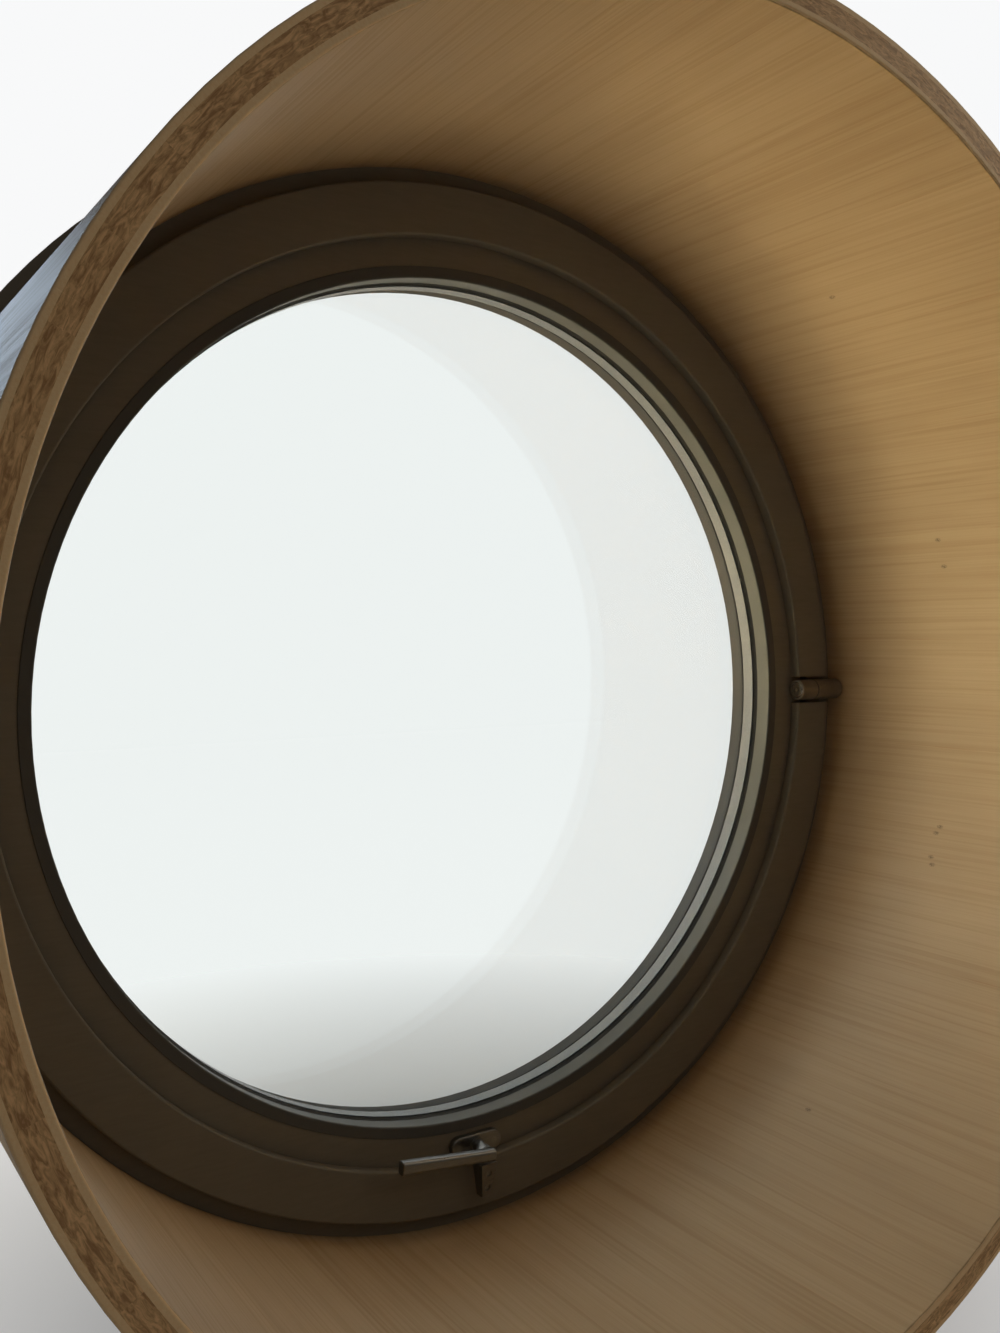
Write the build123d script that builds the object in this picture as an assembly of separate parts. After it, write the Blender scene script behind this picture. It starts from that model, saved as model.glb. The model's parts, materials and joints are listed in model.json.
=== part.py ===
from build123d import *
import os
from math import atan2, cos, degrees, radians, sin, sqrt, tan

# Round window that turns on two pivots at half height, in a deep timber lining.
# X is to the right seen from the room, Y points outdoors, Z is up, in millimetres.
# Pieces are drawn from the frame's room-side face, where y is 0, and written out with
# the origin at the window's centre on the frame's outdoor face, where it meets the wall.

# Timber lining between the frame and the room
lining_setback = 42.0
lining_wall = 27.0
lining_depth = 432.0
lining_edge_round = 2.0

# Frame and sash, two timber rings of one depth with faces in line
timber_depth = 70.0
sash_gap = 10.0
frame_width = 80.0
edge_round = 2.0

# Cover rings, each cut at the pivots into an upper and a lower half
ring_sash_cover = 18.0
ring_frame_cover = 25.0
ring_thickness = 14.0
ring_relief = 1.0
ring_end_gap = 4.0
ring_edge_round = 2.5
fixing_land = 5.0

# Weather seals let into the cover rings
seal_width = 6.0
seal_groove_depth = 4.0
seal_inset = 7.0
seal_face_gap = 0.3

# Glazing
sight_radius = 449.5
bead_width = 12.0
bead_depth = 20.0
bead_proud = 1.0
bead_round = 2.0
bead_joint_round = 0.5
gasket_thickness = 4.0
gasket_lip = 2.0
gasket_cover = 6.0
pane_thickness = 4.0
pane_cavity = 16.0
pane_edge_gap = 4.5
spacer_height = 7.0
spacer_sight = 2.5
block_length = 90.0
block_angle = 24.0

# Pivots
opening_angle = 60.0
swing_clearance = 2.0
barrel_radius = 13.0
barrel_round = 0.8
sash_barrel_start = 4.0
sash_barrel_length = 27.0
friction_washer_thickness = 2.0
friction_washer_step = 0.8
barrel_end_gap = 2.0
web_width = 16.0
pin_radius = 5.0
pin_end_wall = 6.0
running_gap = 0.05
bush_wall = 2.5
cap_radius = 10.0
cap_gap = 0.4
cap_thickness = 4.0
cap_groove_inner = 6.6
cap_groove_outer = 7.4
cap_screw_radius = 2.5
cap_screw_length = 18.0
cap_socket = 4.0
cap_socket_depth = 2.5
set_screw_radius = 2.5
set_screw_length = 6.0
set_screw_from_end = 12.0
plate_thickness = 5.0
plate_height = 90.0
plate_round = 4.0
sash_plate_width = 12.0
frame_plate_width = 20.0
frame_plate_margin = 1.5
sash_plate_margin = 2.0
plate_screw_spread = 64.0

# Handle below the glass, with its grip to the left
rosette_bead_gap = 4.5
rosette_ring_gap = 2.0
rosette_length = 62.0
rosette_height = 22.0
rosette_thickness = 8.0
rosette_round = 1.5
rosette_screw_spread = 44.0
neck_radius = 6.5
neck_collar_radius = 8.5
neck_collar_height = 2.0
neck_straight = 8.0
flare_half_width = 11.0
flare_half_height = 5.5
flare_shift = 6.5
flare_sink = 2.0
grip_front = 40.0
grip_thickness = 12.0
grip_height = 13.0
grip_end_height = 14.5
grip_round = 4.0
grip_straight = 60.0
grip_length = 108.0
grip_end_round = 1.5
grip_stub = 5.0
grip_drop = 2.0
grip_tilt = 6.5
spindle_width = 8.0
spindle_depth = 28.0
spindle_hole_gap = 0.5
retainer_radius = 9.0
retainer_thickness = 1.5
retainer_gap = 0.3
retainer_pocket_gap = 1.0
grub_screw_radius = 2.0
grub_screw_offset = 1.0

# Strike ramp on the fixed lower ring, under the handle
strike_top_width = 20.0
strike_tip_width = 9.0
strike_length = 40.0
strike_top_height = 20.0
strike_tip_height = 11.0
strike_overhang = 1.0
strike_round = 1.5
strike_screw_spread = 17.0

# Screws, and wall fixings whose nuts lie in pockets under the lining
screw_head_radius = 3.6
screw_head_height = 2.4
screw_shank_radius = 1.9
plate_screw_length = 28.0
ring_screw_grip = 36.0
ring_screws_per_half = 5
rosette_screw_length = 26.0
strike_screw_length = 23.0
lining_screw_head_radius = 5.0
lining_screw_shank_radius = 2.6
lining_screw_bite = 32.0
fixing_count = 8
fixing_hole_radius = 4.25
nut_pocket_radius = 8.5
nut_pocket_depth = 6.0

# Radii from the glass outwards, worked out from the sizes above
joint_radius = sight_radius + bead_width
handle_radius = joint_radius + rosette_bead_gap + rosette_height / 2
ring_inner_radius = handle_radius + rosette_height / 2 + rosette_ring_gap
sash_outer_radius = ring_inner_radius + ring_sash_cover
frame_inner_radius = sash_outer_radius + sash_gap
ring_outer_radius = frame_inner_radius + ring_frame_cover
lining_inner_radius = frame_inner_radius + lining_setback
frame_outer_radius = frame_inner_radius + frame_width

# Places worked out from the sizes above
pane_radius = joint_radius - pane_edge_gap
inner_pane_y = bead_depth + gasket_thickness
spacer_y = inner_pane_y + pane_thickness
outer_pane_y = spacer_y + pane_cavity
outer_gasket_y = outer_pane_y + pane_thickness
lip_y = outer_gasket_y + gasket_thickness
pivot_y = -barrel_radius
inner_cut = barrel_radius + ring_end_gap
swing_depth = timber_depth + ring_thickness - pivot_y
outer_cut = swing_depth * tan(radians(opening_angle / 2)) + swing_clearance
barrel_x = ring_inner_radius - sash_barrel_start
washer_x = barrel_x + sash_barrel_length
frame_barrel_x = washer_x + friction_washer_thickness
barrel_end_x = lining_inner_radius - barrel_end_gap
pin_end_x = barrel_end_x - pin_end_wall
fixing_radius = lining_inner_radius + lining_wall / 2
far = 2 * (frame_outer_radius + lining_depth)


# Shared shapes
def rod_y(radius, y_start, y_end, x=0.0, z=0.0):
    length = y_end - y_start
    middle = (y_start + y_end) / 2
    return Pos(x, middle, z) * Rot(90, 0, 0) * Cylinder(radius, length)


def rod_x(radius, x_start, x_end, y=0.0, z=0.0):
    length = x_end - x_start
    middle = (x_start + x_end) / 2
    return Pos(middle, y, z) * Rot(0, 90, 0) * Cylinder(radius, length)


def block(x_range, y_range, z_range):
    sizes = [high - low for low, high in (x_range, y_range, z_range)]
    middles = [(high + low) / 2 for low, high in (x_range, y_range, z_range)]
    return Pos(*middles) * Box(*sizes)


def outline(*points):
    return make_face(Polyline(*points, close=True))


def turned_ring(profile):
    return revolve(profile, Axis.Y)


def round_corners(profile, radius, *corners):
    near = [profile.vertices().sort_by_distance((r, y, 0))[0] for r, y in corners]
    return fillet(near, radius)


def plain_ring(inner_radius, outer_radius, y_start, y_end):
    return turned_ring(outline((inner_radius, y_start), (outer_radius, y_start),
                               (outer_radius, y_end), (inner_radius, y_end)))


def above(solid, height):
    return solid & block((-far, far), (-far, far), (height, far))


def below(solid, height):
    return solid & block((-far, far), (-far, far), (-far, height))


def mirrored(solid):
    return mirror(solid, Plane.YZ)


def on_circle(radius, degrees_from_x):
    angle = radians(degrees_from_x)
    return radius * cos(angle), radius * sin(angle)


def joined(solids):
    return Compound(children=list(solids))


def countersunk_screw(length, head_radius, shank_radius):
    profile = outline((0, 0), (head_radius, 0), (shank_radius, screw_head_height),
                      (shank_radius, length - shank_radius), (0, length))
    return revolve(profile, Axis.Y)


def screws_at(places, length, y_head, head_radius=screw_head_radius, shank_radius=screw_shank_radius):
    screw = countersunk_screw(length, head_radius, shank_radius)
    return [Pos(x, y_head, z) * screw for x, z in places]


def without(solid, tools):
    for tool in tools:
        solid = solid - tool
    return solid


# Lining and frame
def lining_screw_solids():
    places = [on_circle(fixing_radius, (i + 0.5) * 360 / fixing_count) for i in range(fixing_count)]
    length = timber_depth + lining_screw_bite
    screw = countersunk_screw(length, lining_screw_head_radius, lining_screw_shank_radius)
    return [Pos(x, timber_depth, z) * Rot(180, 0, 0) * screw for x, z in places]


def make_lining(screws):
    outer_radius = lining_inner_radius + lining_wall
    profile = outline((lining_inner_radius, -lining_depth), (outer_radius, -lining_depth),
                      (outer_radius, 0), (lining_inner_radius, 0))
    profile = round_corners(profile, lining_edge_round,
                            (lining_inner_radius, -lining_depth), (outer_radius, -lining_depth))
    return without(turned_ring(profile), screws)


def frame_plate_range():
    start = frame_inner_radius + edge_round + frame_plate_margin
    return start, start + frame_plate_width


def sash_plate_range():
    start = ring_inner_radius + sash_plate_margin
    return start, start + sash_plate_width


def plate_pocket(x_range):
    pocket = block(x_range, (0, plate_thickness), (-plate_height / 2, plate_height / 2))
    return fillet(pocket.edges().filter_by(Axis.Y), plate_round)


def make_frame(tools):
    profile = outline((frame_inner_radius, 0), (frame_outer_radius, 0),
                      (frame_outer_radius, timber_depth), (frame_inner_radius, timber_depth))
    profile = round_corners(profile, edge_round, (frame_inner_radius, 0), (frame_inner_radius, timber_depth))
    frame = turned_ring(profile)
    for i in range(fixing_count):
        x, z = on_circle(fixing_radius, i * 360 / fixing_count)
        frame = frame - rod_y(fixing_hole_radius, 0, timber_depth, x, z)
        frame = frame - rod_y(nut_pocket_radius, 0, nut_pocket_depth, x, z)
    pocket = plate_pocket(frame_plate_range())
    return without(frame, [pocket, mirrored(pocket)] + tools)


# Cover rings: side is -1 on the room side and 1 outdoors
def cover_ring_profile(side, fixed_outside):
    seat = 0.0 if side < 0 else timber_depth
    face = seat + side * ring_thickness
    relieved = seat + side * ring_relief
    if fixed_outside:
        step = frame_inner_radius - fixing_land
        back = [(ring_outer_radius, seat), (step, seat), (step, relieved), (ring_inner_radius, relieved)]
    else:
        step = sash_outer_radius
        back = [(ring_outer_radius, relieved), (step, relieved), (step, seat), (ring_inner_radius, seat)]
    profile = outline((ring_inner_radius, face), (ring_outer_radius, face), *back)
    return round_corners(profile, ring_edge_round, (ring_inner_radius, face), (ring_outer_radius, face))


def seal_range(fixed_outside):
    if fixed_outside:
        start = ring_inner_radius + seal_inset
    else:
        start = ring_outer_radius - seal_inset - seal_width
    return start, start + seal_width


def seal_and_groove(side, fixed_outside):
    seat = 0.0 if side < 0 else timber_depth
    start, end = seal_range(fixed_outside)
    bottom = seat + side * (ring_relief + seal_groove_depth)
    tip = seat + side * seal_face_gap
    middle = (start + end) / 2
    relieved = seat + side * ring_relief
    groove = plain_ring(start, end, min(bottom, relieved), max(bottom, relieved))
    seal = turned_ring(outline((start, bottom), (end, bottom), (end, relieved),
                               (middle, tip), (start, relieved)))
    return seal, groove


def ring_screw_places(radius, upper):
    first = 0 if upper else 180
    step = 180 / ring_screws_per_half
    return [on_circle(radius, first + (i + 0.5) * step) for i in range(ring_screws_per_half)]


def make_cover_ring(side, fixed_outside, upper):
    cut = inner_cut if side < 0 else outer_cut
    ring = turned_ring(cover_ring_profile(side, fixed_outside))
    seal, groove = seal_and_groove(side, fixed_outside)
    ring = ring - groove
    if upper:
        return above(ring, cut), above(seal, cut)
    return below(ring, -cut), below(seal, -cut)


# Screws that hold a cover ring come from behind, through the timber that carries it
def ring_screw_solids(side, fixed_outside, upper):
    if fixed_outside:
        radius = (frame_inner_radius + ring_outer_radius) / 2
    else:
        radius = (ring_inner_radius + sash_outer_radius) / 2
    bite = ring_thickness - 2 * ring_edge_round
    screw = countersunk_screw(ring_screw_grip + bite, screw_head_radius, screw_shank_radius)
    solids = []
    for x, z in ring_screw_places(radius, upper):
        if side < 0:
            solids.append(Pos(x, ring_screw_grip, z) * Rot(180, 0, 0) * screw)
        else:
            solids.append(Pos(x, timber_depth - ring_screw_grip, z) * screw)
    return solids


def screw_access(side, screws):
    holes = []
    for screw in screws:
        middle = screw.bounding_box().center()
        if side < 0:
            holes.append(rod_y(screw_head_radius, ring_screw_grip, timber_depth, middle.X, middle.Z))
        else:
            holes.append(rod_y(screw_head_radius, 0, timber_depth - ring_screw_grip, middle.X, middle.Z))
    return holes


# Sash and glazing
def make_sash(tools):
    profile = outline((joint_radius, 0), (sash_outer_radius, 0), (sash_outer_radius, timber_depth),
                      (sight_radius, timber_depth), (sight_radius, lip_y), (joint_radius, lip_y))
    profile = round_corners(profile, edge_round, (sash_outer_radius, 0), (sash_outer_radius, timber_depth),
                            (sight_radius, timber_depth))
    pocket = plate_pocket(sash_plate_range())
    return without(turned_ring(profile), [pocket, mirrored(pocket)] + tools)


def make_bead():
    profile = outline((sight_radius, -bead_proud), (joint_radius, -bead_proud),
                      (joint_radius, bead_depth), (sight_radius, bead_depth))
    profile = round_corners(profile, bead_round, (sight_radius, -bead_proud))
    profile = round_corners(profile, bead_joint_round, (joint_radius, -bead_proud))
    return turned_ring(profile)


def make_gasket(seat_y, pane_y):
    inner = sight_radius - gasket_lip
    outer = sight_radius + gasket_cover
    return turned_ring(outline((inner, pane_y), (sight_radius, seat_y), (outer, seat_y), (outer, pane_y)))


def make_pane(y_start):
    return rod_y(pane_radius, y_start, y_start + pane_thickness)


def make_spacer():
    inner = sight_radius - spacer_sight
    return plain_ring(inner, inner + spacer_height, spacer_y, outer_pane_y)


def setting_block_solids():
    ring = plain_ring(pane_radius, joint_radius, inner_pane_y, outer_gasket_y)
    half = degrees(block_length / pane_radius) / 2
    blocks = []
    for middle in (270 - block_angle, 270 + block_angle):
        corners = [on_circle(far, middle + half), on_circle(far, middle - half)]
        wedge = Plane.XZ * make_face(Polyline((0, 0), *corners, close=True))
        blocks.append(ring & extrude(wedge, far, both=True))
    return blocks


# Pivots, made for the right-hand side and mirrored for the left
def barrel(x_start, x_end):
    body = rod_x(barrel_radius, x_start, x_end, pivot_y)
    return fillet(body.edges().filter_by(GeomType.CIRCLE), barrel_round)


def plate_screw_places(x_range):
    middle = (x_range[0] + x_range[1]) / 2
    return [(middle, plate_screw_spread / 2), (middle, -plate_screw_spread / 2)]


def make_knuckle(x_start, x_end, x_range, screws):
    knuckle = barrel(x_start, x_end)
    web_start = max(x_start, x_range[0])
    web_end = min(x_end, x_range[1])
    web = block((web_start, web_end), (pivot_y, plate_thickness), (-web_width / 2, web_width / 2))
    return without(knuckle + web + plate_pocket(x_range), screws)


def make_sash_knuckle(screws):
    knuckle = make_knuckle(barrel_x, washer_x, sash_plate_range(), screws)
    cap_seat = barrel_x + cap_thickness
    knuckle = knuckle - rod_x(cap_radius + cap_gap, barrel_x, cap_seat, pivot_y)
    return knuckle - rod_x(pin_radius + bush_wall, cap_seat, washer_x, pivot_y)


def make_bush():
    start = barrel_x + cap_thickness + cap_gap
    return rod_x(pin_radius + bush_wall, start, washer_x, pivot_y) - rod_x(
        pin_radius + running_gap, start, washer_x, pivot_y)


def make_friction_washer():
    outer = rod_x(barrel_radius - friction_washer_step, washer_x, frame_barrel_x, pivot_y)
    return outer - rod_x(pin_radius + running_gap, washer_x, frame_barrel_x, pivot_y)


def cap_screw_shank():
    return rod_x(cap_screw_radius, barrel_x + cap_thickness, barrel_x + cap_screw_length, pivot_y)


def make_cap_screw():
    profile = outline((0, 0), (cap_radius - barrel_round, 0), (cap_radius, barrel_round),
                      (cap_radius, cap_thickness), (0, cap_thickness))
    head = revolve(profile, Axis.Y)
    groove = plain_ring(cap_groove_inner, cap_groove_outer, 0, barrel_round)
    head = Pos(barrel_x, pivot_y, 0) * Rot(0, 0, -90) * (head - groove)
    hexagon = Plane.YZ * RegularPolygon(cap_socket / 2, 6, major_radius=False)
    socket = Pos(barrel_x, pivot_y, 0) * extrude(hexagon, cap_socket_depth)
    return head - socket + cap_screw_shank()


def make_pin(set_screw):
    pin = rod_x(pin_radius, barrel_x + cap_thickness, pin_end_x, pivot_y)
    return pin - cap_screw_shank() - set_screw


def make_set_screw():
    x = barrel_end_x - set_screw_from_end
    top = barrel_radius - barrel_round
    seat = sqrt(pin_radius ** 2 - set_screw_radius ** 2)
    screw = Pos(x, pivot_y, (seat + top) / 2) * Cylinder(set_screw_radius, top - seat)
    slot = Pos(x, pivot_y, top) * Box(2 * set_screw_radius, barrel_round, 2 * barrel_round)
    return screw - slot


def make_frame_knuckle(screws):
    knuckle = make_knuckle(frame_barrel_x, barrel_end_x, frame_plate_range(), screws)
    knuckle = knuckle - rod_x(pin_radius, frame_barrel_x, pin_end_x, pivot_y)
    hole = Pos(barrel_end_x - set_screw_from_end, pivot_y, barrel_radius / 2)
    return knuckle - hole * Cylinder(set_screw_radius, barrel_radius)


# Handle
def at_handle(solid):
    return Pos(0, 0, -handle_radius) * solid


def rosette_screw_solids():
    places = [(rosette_screw_spread / 2, 0), (-rosette_screw_spread / 2, 0)]
    return [at_handle(screw) for screw in screws_at(places, rosette_screw_length, -rosette_thickness)]


def make_rosette(screws):
    plate = extrude(Plane.XZ * SlotOverall(rosette_length, rosette_height), rosette_thickness)
    front = plate.faces().sort_by(Axis.Y)[0]
    plate = fillet(front.edges(), rosette_round)
    plate = plate - rod_y(neck_radius + running_gap, -rosette_thickness, 0)
    return without(at_handle(plate), screws)


def grip_section(x, height, z):
    middle = -grip_front + grip_thickness / 2
    plane = Plane(origin=(x, middle, z), x_dir=(0, 1, 0), z_dir=(-1, 0, 0))
    return plane * RectangleRounded(grip_thickness, height, grip_round)


def facing_room(x, y, z):
    return Plane(origin=(x, y, z), x_dir=(1, 0, 0), z_dir=(0, -1, 0))


# Round at the rosette and wide and flat where it runs into the grip
def lever_neck():
    straight_end = -rosette_thickness - neck_straight
    flare_end = -grip_front + grip_thickness - flare_sink
    flare = loft([facing_room(0, straight_end, 0) * Circle(neck_radius),
                  facing_room(-flare_shift, flare_end, -grip_drop) * Ellipse(flare_half_width, flare_half_height)])
    collar = rod_y(neck_collar_radius, -rosette_thickness - neck_collar_height - running_gap,
                   -rosette_thickness - running_gap)
    return rod_y(neck_radius, straight_end, 0) + flare + collar


# The stub stays short, so that the lever clears the fixed ring's bore however it is turned
def make_lever():
    sections = [grip_section(grip_stub, grip_height, -grip_drop),
                grip_section(-grip_straight, grip_height, -grip_drop),
                grip_section(-grip_length, grip_end_height, -grip_drop)]
    grip = loft(sections)
    ends = grip.faces().sort_by(Axis.X)
    grip = fillet(ends[0].edges() + ends[-1].edges(), grip_end_round)
    lever = Rot(0, grip_tilt, 0) * grip + lever_neck()
    return at_handle(lever - spindle_block() - grub_screw_solid())


def spindle_block():
    half = spindle_width / 2
    return block((-half, half), (-grip_front + grip_thickness, spindle_depth), (-half, half))


def grub_screw_solid():
    y = -(rosette_thickness + neck_collar_height + grub_screw_radius + grub_screw_offset)
    return Pos(0, y, -(spindle_width / 2 + neck_radius) / 2) * Cylinder(
        grub_screw_radius, neck_radius - spindle_width / 2)


def make_spindle():
    return at_handle(spindle_block())


def make_retainer():
    washer = rod_y(retainer_radius, retainer_gap, retainer_gap + retainer_thickness)
    half = spindle_width / 2
    return at_handle(washer - block((-half, half), (0, spindle_depth), (-half, half)))


def handle_pocket():
    depth = retainer_gap + retainer_thickness + retainer_pocket_gap
    pocket = rod_y(retainer_radius + retainer_pocket_gap, 0, depth)
    corner = spindle_width / sqrt(2)
    bore = rod_y(corner + spindle_hole_gap, 0, spindle_depth + retainer_pocket_gap)
    return at_handle(pocket + bore)


# Strike ramp
def strike_outline():
    top = strike_top_width / 2
    tip = strike_tip_width / 2
    return outline((-top, 0), (top, 0), (tip, -strike_length), (-tip, -strike_length))


def strike_top_z():
    return strike_overhang - ring_inner_radius


def strike_screw_solids():
    middle = strike_top_z() - strike_length / 2
    half = strike_screw_spread / 2
    heights = [(half, strike_top_height), (-half, strike_tip_height)]
    slope = (strike_top_height - strike_tip_height) / strike_length
    solids = []
    for offset, height in heights:
        z = middle + offset
        sunk = strike_top_height + slope * (z - strike_top_z()) - screw_head_height
        screw = countersunk_screw(strike_screw_length, screw_head_radius, screw_shank_radius)
        solids.append(Pos(0, -ring_thickness - sunk, z) * screw)
    return solids


def make_strike(screws):
    plan = Plane.XZ * strike_outline()
    body = extrude(plan, strike_top_height)
    body = fillet(body.edges().filter_by(Axis.Y), strike_round)
    side = outline((0, 0), (-strike_top_height, 0), (-strike_tip_height, -strike_length), (0, -strike_length))
    ramp = extrude(Plane.YZ * side, strike_top_width, both=True)
    strike = Pos(0, -ring_thickness, strike_top_z()) * (body & ramp)
    for screw in screws:
        box = screw.bounding_box()
        strike = strike - rod_y(screw_head_radius, -ring_thickness - strike_top_height, box.min.Y,
                                box.center().X, box.center().Z)
    return without(strike, screws)


def main():
    os.makedirs("parts", exist_ok=True)
    parts = {}

    lining_screws = lining_screw_solids()
    frame_plate_screws = screws_at(plate_screw_places(frame_plate_range()), plate_screw_length, 0)
    sash_plate_screws = screws_at(plate_screw_places(sash_plate_range()), plate_screw_length, 0)
    left_frame_screws = [mirrored(screw) for screw in frame_plate_screws]
    left_sash_screws = [mirrored(screw) for screw in sash_plate_screws]
    stop_screws = ring_screw_solids(-1, True, False)
    cover_screws = ring_screw_solids(-1, False, True)
    outer_stop_screws = ring_screw_solids(1, True, True)
    outer_cover_screws = ring_screw_solids(1, False, False)
    rosette_screws = rosette_screw_solids()
    strike_screws = strike_screw_solids()

    parts["reveal_lining"] = make_lining(lining_screws)
    frame_tools = (lining_screws + frame_plate_screws + left_frame_screws + stop_screws + outer_stop_screws
                   + screw_access(-1, stop_screws) + screw_access(1, outer_stop_screws))
    parts["outer_frame"] = make_frame(frame_tools)
    parts["lining_screws"] = joined(lining_screws)

    ring, seal = make_cover_ring(-1, True, False)
    parts["lower_stop_ring"] = without(ring, stop_screws + strike_screws)
    parts["lower_stop_seal"] = seal
    parts["lower_stop_screws"] = joined(stop_screws)
    ring, seal = make_cover_ring(1, True, True)
    parts["upper_outer_stop"] = without(ring, outer_stop_screws)
    parts["upper_outer_stop_seal"] = seal
    parts["upper_outer_stop_screws"] = joined(outer_stop_screws)
    parts["strike_ramp"] = make_strike(strike_screws)
    parts["strike_screws"] = joined(strike_screws)

    sash_tools = (sash_plate_screws + left_sash_screws + cover_screws + outer_cover_screws + rosette_screws
                  + screw_access(-1, cover_screws) + screw_access(1, outer_cover_screws) + [handle_pocket()])
    parts["sash_ring"] = make_sash(sash_tools)
    ring, seal = make_cover_ring(-1, False, True)
    parts["upper_cover_ring"] = without(ring, cover_screws)
    parts["upper_cover_seal"] = seal
    parts["upper_cover_screws"] = joined(cover_screws)
    ring, seal = make_cover_ring(1, False, False)
    parts["lower_outer_cover"] = without(ring, outer_cover_screws)
    parts["lower_outer_cover_seal"] = seal
    parts["lower_outer_cover_screws"] = joined(outer_cover_screws)

    parts["glazing_bead"] = make_bead()
    parts["inner_gasket"] = make_gasket(bead_depth, inner_pane_y)
    parts["inner_pane"] = make_pane(inner_pane_y)
    parts["spacer_bar"] = make_spacer()
    parts["outer_pane"] = make_pane(outer_pane_y)
    parts["outer_gasket"] = make_gasket(lip_y, outer_gasket_y)
    parts["setting_blocks"] = joined(setting_block_solids())

    set_screw = make_set_screw()
    right_side = {
        "frame_knuckle": make_frame_knuckle(frame_plate_screws + [set_screw]),
        "sash_knuckle": make_sash_knuckle(sash_plate_screws),
        "pivot_pin": make_pin(set_screw),
        "pivot_bush": make_bush(),
        "friction_washer": make_friction_washer(),
        "cap_screw": make_cap_screw(),
        "set_screw": set_screw,
    }
    for name, solid in right_side.items():
        parts["right_" + name] = solid
        parts["left_" + name] = mirrored(solid)
    parts["frame_knuckle_screws"] = joined(frame_plate_screws + left_frame_screws)
    parts["sash_knuckle_screws"] = joined(sash_plate_screws + left_sash_screws)

    parts["handle_rosette"] = make_rosette(rosette_screws)
    parts["rosette_screws"] = joined(rosette_screws)
    parts["lever_handle"] = make_lever()
    parts["handle_spindle"] = make_spindle()
    parts["spindle_retainer"] = make_retainer()
    parts["grub_screw"] = at_handle(grub_screw_solid())

    for name, shape in parts.items():
        placed = [Pos(0, -timber_depth, 0) * solid for solid in shape.solids()]
        export_step(placed[0] if len(placed) == 1 else joined(placed), "parts/" + name + ".step")


main()
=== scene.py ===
import json
from math import cos, pi, radians, sin

import bpy
from mathutils import Matrix, Vector


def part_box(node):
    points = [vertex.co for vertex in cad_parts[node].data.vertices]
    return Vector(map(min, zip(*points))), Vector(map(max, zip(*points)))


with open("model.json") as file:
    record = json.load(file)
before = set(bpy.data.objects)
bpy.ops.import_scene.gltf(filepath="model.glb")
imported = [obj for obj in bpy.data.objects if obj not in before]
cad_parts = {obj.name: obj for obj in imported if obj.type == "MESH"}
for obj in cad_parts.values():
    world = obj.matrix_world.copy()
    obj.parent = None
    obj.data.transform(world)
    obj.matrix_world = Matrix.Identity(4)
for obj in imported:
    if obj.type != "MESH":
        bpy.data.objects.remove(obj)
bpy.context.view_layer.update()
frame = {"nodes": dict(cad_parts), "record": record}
nodes = frame["nodes"]

# Camera, in metres and degrees
camera_place = Vector((-0.6774, -1.1682, 0.0787))
camera_yaw = 33.10
camera_pitch = -1.71
camera_roll = -0.35
camera_lens = 32.39
camera_clip = 0.02
film_long_side = 36.0

# The lining's board and its surfaces
board_thickness = 0.027
lining_low, lining_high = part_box("reveal_lining")
lining_outer = lining_high.x
lining_inner = lining_outer - board_thickness
lining_front = lining_low.y
end_depth = 0.0012
board_count = 27
board_shift = 7.31
joint_strength = 0.42
layer_thickness = 0.0055
core_blocks = 58

# Small dark marks on the boards: degrees round the tube from its right side, and place along it
board_marks = [(-16.4, -0.2625), (-17.2, -0.2586), (-20.2, -0.2589), (-21.1, -0.2628), (51.7, -0.2635),
               (19.0, -0.2636), (15.7, -0.2649), (-54.4, -0.2503)]
mark_half_width = 0.0022
mark_half_length = 0.0038
mark_strength = 0.85

# The bead's outer edge, up to which the lacquer is painted a cooler, darker grey as painted shade
bead_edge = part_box("glazing_bead")[1].x
bead_margin = 0.0002

# The floor, which fades into the white room between two distances from the object
floor_half_width = 6.0
floor_gap = 0.0005
floor_fade_start = 0.1
floor_fade_end = 1.15

# Colours, as linear light
spruce_pale = (0.56, 0.40, 0.235, 1)
spruce_deep = (0.37, 0.235, 0.115, 1)
# Pale end colours: the wood's own layered tone, raised lighter as painted light on the room end
spruce_core_pale_with_painted_light = (0.84, 0.53, 0.26, 1)
spruce_core_deep = (0.40, 0.21, 0.085, 1)
spruce_end_pale_with_painted_light = (0.90, 0.66, 0.38, 1)
mark_brown = (0.13, 0.085, 0.045, 1)
lacquer_light = (0.225, 0.203, 0.166, 1)
lacquer_dark = (0.178, 0.158, 0.127, 1)
# Painted shade: the bead is the same lacquer, painted a cool dark grey that stands in for shade at the glass
bead_painted_shade_grey = (0.102, 0.102, 0.098, 1)
rubber_black = (0.012, 0.012, 0.013, 1)
rubber_dust = (0.045, 0.043, 0.04, 1)
glass_tint = (0.965, 0.985, 0.975, 1)
glass_shadow_tint = (0.93, 0.96, 0.945, 1)
pivot_light = (0.225, 0.185, 0.14, 1)
pivot_dark = (0.165, 0.132, 0.098, 1)
floor_white = (0.84, 0.83, 0.81, 1)
room_white = (0.94, 0.945, 0.95, 1)
fill_colour = (1.0, 0.95, 0.87, 1)
fill_strength = 0.038

# Metals: light and dark colour, least and greatest roughness, scale of the finish and its stretch along x
metals = {
    "satin_metal": ((0.29, 0.287, 0.282, 1), (0.23, 0.227, 0.222, 1), 0.26, 0.36, 900.0, 0.08),
    "bright_steel": ((0.68, 0.67, 0.64, 1), (0.58, 0.57, 0.54, 1), 0.14, 0.24, 1400.0, 1.0),
    "bearing_bronze": ((0.60, 0.42, 0.20, 1), (0.48, 0.32, 0.14, 1), 0.28, 0.4, 500.0, 1.0),
    "plated_steel": ((0.34, 0.335, 0.325, 1), (0.27, 0.265, 0.255, 1), 0.28, 0.4, 700.0, 1.0),
}

# Dull plain surfaces: light and dark colour
dull_colours = {
    "spacer_metal": ((0.19, 0.195, 0.20, 1), (0.14, 0.145, 0.15, 1)),
    "nylon": ((0.05, 0.05, 0.052, 1), (0.03, 0.03, 0.032, 1)),
}

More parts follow.
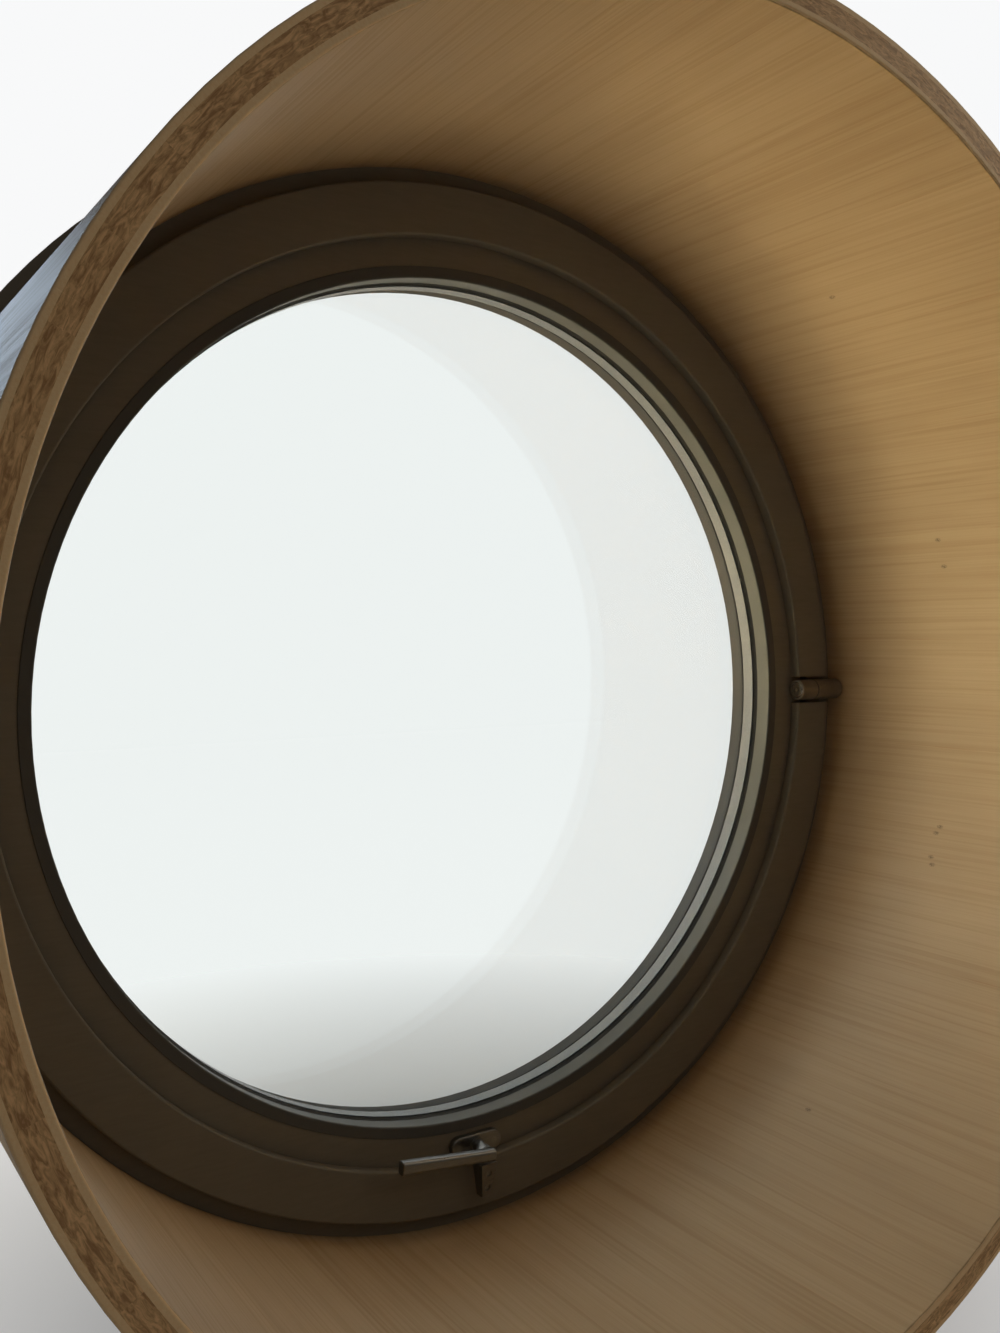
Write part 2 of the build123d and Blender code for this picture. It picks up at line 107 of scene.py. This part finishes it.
# Softboxes: name, place, target, width and height, watts, colour
softboxes = [
    ("sky_softbox", (-0.62, 1.8, 0.85), (0.45, -0.4, -0.35), (1.1, 0.9), 12, (0.66, 0.82, 1.0)),
    ("warm_softbox", (-0.62, 1.75, -0.42), (0.22, -0.42, 0.48), (0.9, 0.3), 22, (1.0, 0.74, 0.41)),
    ("room_softbox", (-1.2, -2.6, 1.7), (0, -0.2, 0), (2.4, 1.8), 2.8, (1.0, 0.88, 0.72)),
    ("side_softbox", (2.4, -1.6, 1.5), (0.3, -0.5, 0.3), (1.2, 1.2), 13, (1.0, 0.86, 0.66)),
    ("top_softbox", (0.6, -0.6, 2.9), (0, -0.2, 0), (2.6, 2.6), 8, (1, 1, 1)),
]


# Node helpers
class Tree:
    """One material's nodes, added and joined by short calls."""

    def __init__(self, name):
        self.material = bpy.data.materials.new(name)
        self.material.use_nodes = True
        self.nodes = self.material.node_tree.nodes
        self.links = self.material.node_tree.links
        self.nodes.clear()
        self.output = self.nodes.new("ShaderNodeOutputMaterial")
        self.shader = self.nodes.new("ShaderNodeBsdfPrincipled")
        self.links.new(self.shader.outputs[0], self.output.inputs["Surface"])

    def put(self, socket, value):
        if isinstance(value, bpy.types.NodeSocket):
            self.links.new(value, socket)
        else:
            socket.default_value = value

    def set(self, **values):
        for name, value in values.items():
            self.put(self.shader.inputs[name.replace("_", " ")], value)

    def math(self, operation, first, second=0.0):
        node = self.nodes.new("ShaderNodeMath")
        node.operation = operation
        for socket, value in zip(node.inputs, (first, second)):
            self.put(socket, value)
        return node.outputs[0]

    def times(self, first, second):
        return self.math("MULTIPLY", first, second)

    def plus(self, first, second):
        return self.math("ADD", first, second)

    def length(self, first, second):
        return self.math("SQRT", self.plus(self.times(first, first), self.times(second, second)))

    def position(self):
        node = self.nodes.new("ShaderNodeTexCoord")
        split = self.nodes.new("ShaderNodeSeparateXYZ")
        self.links.new(node.outputs["Object"], split.inputs[0])
        return split.outputs[0], split.outputs[1], split.outputs[2]

    def vector(self, x, y, z):
        node = self.nodes.new("ShaderNodeCombineXYZ")
        for socket, value in zip(node.inputs, (x, y, z)):
            self.put(socket, value)
        return node.outputs[0]

    def noise(self, vector, scale, detail=3.0, roughness=0.5, distortion=0.0):
        node = self.nodes.new("ShaderNodeTexNoise")
        self.put(node.inputs["Vector"], vector)
        node.inputs["Scale"].default_value = scale
        node.inputs["Detail"].default_value = detail
        node.inputs["Roughness"].default_value = roughness
        node.inputs["Distortion"].default_value = distortion
        return node.outputs[0]

    def between(self, value, low, high, to_low=0.0, to_high=1.0):
        node = self.nodes.new("ShaderNodeMapRange")
        for name, number in (("Value", value), ("From Min", low), ("From Max", high),
                             ("To Min", to_low), ("To Max", to_high)):
            self.put(node.inputs[name], number)
        return node.outputs[0]

    def mix(self, share, first, second):
        node = self.nodes.new("ShaderNodeMix")
        node.data_type = "RGBA"
        self.put(node.inputs["Factor"], share)
        self.put(node.inputs[6], first)
        self.put(node.inputs[7], second)
        return node.outputs[2]

    def bump(self, height, strength, distance):
        node = self.nodes.new("ShaderNodeBump")
        node.inputs["Strength"].default_value = strength
        node.inputs["Distance"].default_value = distance
        self.put(node.inputs["Height"], height)
        self.put(self.shader.inputs["Normal"], node.outputs[0])


def mix_shaders(tree_nodes, links, share, first, second, surface):
    """Joins two shaders to a surface by a share from 0 to 1."""
    mixed = tree_nodes.new("ShaderNodeMixShader")
    for socket, source in zip(mixed.inputs, (share, first, second)):
        links.new(source, socket)
    links.new(mixed.outputs[0], surface)


def seen_ray(tree_nodes, links):
    """1 for what the camera sees, straight on or through glass."""
    path = tree_nodes.new("ShaderNodeLightPath")
    either = tree_nodes.new("ShaderNodeMath")
    either.operation = "MAXIMUM"
    links.new(path.outputs["Is Camera Ray"], either.inputs[0])
    links.new(path.outputs["Is Transmission Ray"], either.inputs[1])
    return either.outputs[0]


# Materials
def spruce_board():
    """Pale boards with fine lines along the tube's axis, and a layered edge at the room end whose colours are
    raised lighter as painted light.
    """
    tree = Tree("spruce_board")
    x, y, z = tree.position()
    radius = tree.length(x, z)
    angle = tree.math("ARCTAN2", z, x)
    boards = tree.times(tree.plus(angle, pi), board_count / (2 * pi))
    board = tree.math("FLOOR", boards)
    across = tree.math("SUBTRACT", boards, board)
    edge = tree.math("MINIMUM", across, tree.math("SUBTRACT", 1.0, across))

    # The lines run the length of a board, with the pattern changed from board to board
    shift = tree.times(board, board_shift)
    bend = tree.noise(tree.vector(x, tree.times(y, 0.7), z), 3.0, 2.0)
    bent = tree.times(bend, 0.006)
    bent_x, bent_z = tree.plus(x, bent), tree.plus(z, bent)
    coarse_place = tree.vector(bent_x, tree.plus(tree.times(y, 0.012), shift), bent_z)
    fine_place = tree.vector(bent_x, tree.plus(tree.times(y, 0.006), shift), bent_z)
    lines = tree.between(tree.noise(coarse_place, 230.0, 1.0), 0.46, 0.68)
    finer = tree.between(tree.noise(fine_place, 720.0, 1.0), 0.42, 0.68)
    slow = tree.noise(tree.vector(x, tree.plus(tree.times(y, 0.25), shift), z), 9.0, 3.0, 0.55)
    tone = tree.noise(tree.vector(board, 0.0, 0.0), 3.7, 0.0)
    grain = tree.plus(tree.times(lines, 0.62), tree.times(finer, 0.38))
    share = tree.plus(tree.times(grain, 0.36), tree.between(slow, 0.3, 0.7, 0.0, 0.30))
    share = tree.plus(share, tree.between(tone, 0.3, 0.7, -0.03, 0.09))
    face = tree.mix(share, spruce_pale, spruce_deep)

    # Joints between the boards show only here and there
    broken = tree.between(tree.noise(tree.vector(shift, y, 0.0), 13.0, 2.0), 0.50, 0.60)
    joint = tree.times(tree.between(edge, 0.0015, 0.007, 1.0, 0.0), broken)
    face = tree.mix(tree.times(joint, joint_strength), face, spruce_core_deep)

    spots = 0.0
    for degrees_round, place in board_marks:
        turned = tree.math("SUBTRACT", angle, radians(degrees_round))
        aside = tree.times(turned, lining_inner / mark_half_width)
        forward = tree.times(tree.math("SUBTRACT", y, place), 1 / mark_half_length)
        away = tree.plus(tree.times(aside, aside), tree.times(forward, forward))
        spots = tree.math("MAXIMUM", tree.between(away, 0.25, 1.6, 1.0, 0.0), spots)
    ragged = tree.between(tree.noise(tree.vector(x, y, z), 900.0, 2.0), 0.35, 0.6)
    face = tree.mix(tree.times(tree.times(spots, ragged), mark_strength), face, mark_brown)

    # The end has a thin layer on both sides of a core of blocks, each block with its own arcs; its pale
    # colours are raised lighter as painted light standing in for room light on the end
    middle = tree.math("SUBTRACT", radius, (lining_inner + lining_outer) / 2)
    off_middle = tree.math("ABSOLUTE", middle)
    core = tree.math("LESS_THAN", off_middle, (lining_outer - lining_inner) / 2 - layer_thickness)
    blocks = tree.math("FLOOR", tree.times(angle, core_blocks / (2 * pi)))
    arc_place = tree.vector(tree.times(radius, 7.0), tree.times(blocks, 3.7), tree.times(angle, 0.9))
    arcs = tree.noise(arc_place, 46.0, 3.0, 0.6, 1.2)
    core_colour = tree.mix(tree.between(arcs, 0.36, 0.64), spruce_core_pale_with_painted_light, spruce_core_deep)
    layer_grain = tree.noise(tree.vector(x, 0.0, z), 420.0, 3.0, 0.6)
    layer_share = tree.between(layer_grain, 0.3, 0.7, 0.0, 0.6)
    layer_colour = tree.mix(layer_share, spruce_end_pale_with_painted_light, spruce_core_pale_with_painted_light)
    end_grain_and_painted_light = tree.mix(core, layer_colour, core_colour)
    at_end = tree.math("LESS_THAN", y, lining_front + end_depth)
    tree.set(Base_Color=tree.mix(at_end, face, end_grain_and_painted_light),
             Roughness=tree.between(grain, 0.0, 1.0, 0.48, 0.60),
             Coat_Weight=0.08, Coat_Roughness=0.45, Specular_IOR_Level=0.4)
    tree.bump(tree.math("SUBTRACT", 0.0, tree.plus(grain, joint)), 0.3, 0.0003)
    return tree.material


def lacquered_timber():
    """Warm grey satin lacquer in which a little of the grain still shows, with painted shade in a cooler,
    darker grey at the glass.
    """
    tree = Tree("lacquered_timber")
    x, y, z = tree.position()
    place = tree.vector(x, tree.times(y, 3.0), z)
    cloud = tree.noise(place, 5.0, 3.0, 0.6)
    grain = tree.noise(tree.vector(tree.times(x, 0.12), y, z), 260.0, 4.0, 0.6, 0.3)
    peel = tree.noise(place, 700.0, 2.0)
    share = tree.plus(tree.between(cloud, 0.3, 0.7, 0.0, 0.55), tree.between(grain, 0.35, 0.7, 0.0, 0.35))
    # Painted shade: a cooler, darker grey up to the bead's outer edge
    painted_shade_at_glass = tree.math("LESS_THAN", tree.length(x, z), bead_edge + bead_margin)
    tree.set(Base_Color=tree.mix(painted_shade_at_glass, tree.mix(share, lacquer_light, lacquer_dark), bead_painted_shade_grey),
             Roughness=tree.between(cloud, 0.3, 0.7, 0.46, 0.56),
             Coat_Weight=0.03, Coat_Roughness=0.4, Specular_IOR_Level=0.2)
    tree.bump(tree.plus(tree.times(grain, 0.7), tree.times(peel, 0.3)), 0.16, 0.0003)
    return tree.material


def black_rubber():
    """Matt black rubber with a little dust."""
    tree = Tree("black_rubber")
    dust = tree.noise(tree.vector(*tree.position()), 240.0, 4.0, 0.6)
    tree.set(Base_Color=tree.mix(tree.between(dust, 0.45, 0.75, 0.0, 0.5), rubber_black, rubber_dust),
             Roughness=tree.between(dust, 0.3, 0.7, 0.55, 0.75))
    tree.bump(dust, 0.12, 0.0002)
    return tree.material


def clear_glass():
    """Clear float glass with a few specks of dust. Light passes it without a hard shadow."""
    tree = Tree("clear_glass")
    dust = tree.noise(tree.vector(*tree.position()), 95.0, 5.0, 0.75)
    speck = tree.between(dust, 0.76, 0.80)
    tree.set(Base_Color=glass_tint, Roughness=tree.between(speck, 0.0, 1.0, 0.0, 0.35),
             Transmission_Weight=1.0, IOR=1.45)
    path = tree.nodes.new("ShaderNodeLightPath")
    clear = tree.nodes.new("ShaderNodeBsdfTransparent")
    clear.inputs[0].default_value = glass_shadow_tint
    mix_shaders(tree.nodes, tree.links, path.outputs["Is Shadow Ray"], tree.shader.outputs[0],
                clear.outputs[0], tree.output.inputs["Surface"])
    return tree.material


def plain_metal(name):
    """Metal with a fine, slightly uneven finish."""
    light, dark, rough_low, rough_high, scale, stretch = metals[name]
    tree = Tree(name)
    x, y, z = tree.position()
    brushed = tree.noise(tree.vector(tree.times(x, stretch), y, z), scale, 4.0, 0.6)
    smudge = tree.noise(tree.vector(x, y, z), 34.0, 3.0, 0.55)
    tree.set(Base_Color=tree.mix(tree.between(brushed, 0.3, 0.7), light, dark), Metallic=1.0,
             Roughness=tree.plus(tree.between(brushed, 0.3, 0.7, rough_low, rough_high),
                                 tree.between(smudge, 0.45, 0.75, 0.0, 0.08)))
    tree.bump(brushed, 0.1, 0.0001)
    return tree.material


def painted_pivot():
    """Bronze-grey satin coating on metal."""
    tree = Tree("painted_pivot")
    x, y, z = tree.position()
    peel = tree.noise(tree.vector(x, y, z), 900.0, 3.0)
    cloud = tree.noise(tree.vector(x, y, z), 40.0, 3.0, 0.6)
    tree.set(Base_Color=tree.mix(tree.between(cloud, 0.3, 0.7), pivot_light, pivot_dark),
             Metallic=0.25, Roughness=tree.between(peel, 0.3, 0.7, 0.32, 0.44),
             Coat_Weight=0.2, Coat_Roughness=0.25)
    tree.bump(peel, 0.2, 0.0001)
    return tree.material


def dull_surface(name):
    """Dull surface with a fine texture."""
    light, dark = dull_colours[name]
    tree = Tree(name)
    fine = tree.noise(tree.vector(*tree.position()), 600.0, 3.0, 0.55)
    tree.set(Base_Color=tree.mix(tree.between(fine, 0.3, 0.7), light, dark),
             Roughness=tree.between(fine, 0.3, 0.7, 0.45, 0.6))
    tree.bump(fine, 0.15, 0.0001)
    return tree.material


def make_materials():
    materials = {
        "lacquered_timber": lacquered_timber(),
        "spruce_board": spruce_board(),
        "black_rubber": black_rubber(),
        "clear_glass": clear_glass(),
        "painted_pivot": painted_pivot(),
    }
    for name in metals:
        materials[name] = plain_metal(name)
    for name in dull_colours:
        materials[name] = dull_surface(name)
    return materials


def dress_nodes(materials):
    for part in frame["record"]["subparts"]:
        mesh = nodes[part["node"]].data
        mesh.materials.clear()
        mesh.materials.append(materials[part["material_slot"]])


# Camera, floor and light
def add_camera():
    data = bpy.data.cameras.new("camera")
    data.sensor_fit = "VERTICAL"
    data.sensor_height = film_long_side
    data.lens = camera_lens
    data.clip_start = camera_clip
    yaw, pitch, roll = radians(camera_yaw), radians(camera_pitch), radians(camera_roll)
    forward = Vector((sin(yaw) * cos(pitch), cos(yaw) * cos(pitch), sin(pitch)))
    level = Vector((cos(yaw), -sin(yaw), 0))
    upright = level.cross(forward)
    right = level * cos(roll) + upright * sin(roll)
    up = upright * cos(roll) - level * sin(roll)
    turn = Matrix((right, up, -forward)).transposed().to_4x4()
    camera = bpy.data.objects.new("camera", data)
    camera.matrix_world = Matrix.Translation(camera_place) @ turn
    bpy.context.scene.collection.objects.link(camera)
    bpy.context.scene.camera = camera


def floor_material():
    """Pale floor that takes the object's shadow near it and fades into the white room further out."""
    tree = Tree("pale_floor")
    x, y, z = tree.position()
    far = tree.between(tree.length(x, y), floor_fade_start, floor_fade_end)
    tree.set(Base_Color=floor_white, Roughness=0.7)
    glow = tree.nodes.new("ShaderNodeEmission")
    glow.inputs[0].default_value = room_white
    mix_shaders(tree.nodes, tree.links, tree.times(far, seen_ray(tree.nodes, tree.links)),
                tree.shader.outputs[0], glow.outputs[0], tree.output.inputs["Surface"])
    return tree.material


def add_floor():
    half = floor_half_width
    level = min(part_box("outer_frame")[0].z, lining_low.z) - floor_gap
    mesh = bpy.data.meshes.new("floor")
    mesh.from_pydata([(-half, -half, level), (half, -half, level), (half, half, level), (-half, half, level)],
                     [], [(0, 1, 2, 3)])
    floor = bpy.data.objects.new("floor", mesh)
    floor.data.materials.append(floor_material())
    bpy.context.scene.collection.objects.link(floor)


def add_softbox(name, place, target, size, power, colour):
    data = bpy.data.lights.new(name, "AREA")
    data.shape = "RECTANGLE"
    data.size, data.size_y = size
    data.energy = power
    data.color = colour
    light = bpy.data.objects.new(name, data)
    light.location = place
    light.visible_camera = False
    light.visible_transmission = False
    light.rotation_euler = (Vector(target) - Vector(place)).to_track_quat("-Z", "Y").to_euler()
    bpy.context.scene.collection.objects.link(light)


def add_world():
    """White where the camera looks, and a dim warm fill for everything else."""
    world = bpy.data.worlds.new("studio")
    world.use_nodes = True
    tree_nodes = world.node_tree.nodes
    links = world.node_tree.links
    fill = tree_nodes["Background"]
    fill.inputs[0].default_value = fill_colour
    fill.inputs[1].default_value = fill_strength
    white = tree_nodes.new("ShaderNodeBackground")
    white.inputs[0].default_value = room_white
    mix_shaders(tree_nodes, links, seen_ray(tree_nodes, links), fill.outputs[0], white.outputs[0],
                tree_nodes["World Output"].inputs["Surface"])
    bpy.context.scene.world = world


dress_nodes(make_materials())
add_camera()
add_floor()
for softbox in softboxes:
    add_softbox(*softbox)
add_world()
bpy.context.scene.view_settings.view_transform = "Standard"
